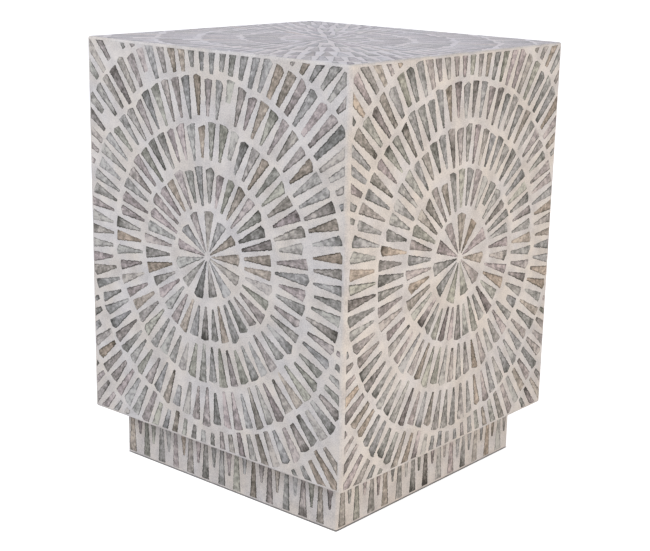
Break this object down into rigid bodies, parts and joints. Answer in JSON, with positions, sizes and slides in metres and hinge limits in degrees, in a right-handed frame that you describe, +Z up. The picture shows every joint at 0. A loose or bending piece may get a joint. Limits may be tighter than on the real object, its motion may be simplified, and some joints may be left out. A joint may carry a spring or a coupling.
{
  "type": "inlaid box stool",
  "caption": "Square box stool on a set-back plinth, faced all over with rings of wedge-shaped shell slips in pale resin.",
  "frame": {"origin": "on the floor, under the middle of the stool", "axes": "+Z up, +X to the right and -Y towards the front face"},
  "size_m": [0.35, 0.35, 0.4545],
  "materials": {
    "board": "medium-density fibreboard, sealed",
    "softwood": "planed softwood",
    "dowel": "turned beech",
    "screw": "plated",
    "felt": "pressed felt",
    "resin": "polished cast resin",
    "shell": "polished shell"
  },
  "bodies": {
    "root": {"top_panel": "board", "bottom_panel": "board", "front_panel": "board", "right_panel": "board", "back_panel": "board", "left_panel": "board", "plinth_front": "board", "plinth_right": "board", "plinth_back": "board", "plinth_left": "board", "corner_block_front_right": "softwood", "corner_block_back_right": "softwood", "corner_block_back_left": "softwood", "corner_block_front_left": "softwood", "plinth_block_front_right": "softwood", "plinth_block_back_right": "softwood", "plinth_block_back_left": "softwood", "plinth_block_front_left": "softwood", "cleat_front": "softwood", "cleat_right": "softwood", "cleat_back": "softwood", "cleat_left": "softwood", "top_dowels": "dowel", "cleat_screws": "screw", "plinth_screws": "screw", "felt_front": "felt", "felt_right": "felt", "felt_back": "felt", "felt_left": "felt", "top_resin": "resin", "front_resin": "resin", "right_resin": "resin", "back_resin": "resin", "left_resin": "resin", "plinth_resin_front": "resin", "plinth_resin_right": "resin", "plinth_resin_back": "resin", "plinth_resin_left": "resin", "top_shell": "shell", "front_shell": "shell", "right_shell": "shell", "back_shell": "shell", "left_shell": "shell", "plinth_shell_front": "shell", "plinth_shell_right": "shell", "plinth_shell_back": "shell", "plinth_shell_left": "shell"}
  },
  "joints": []
}
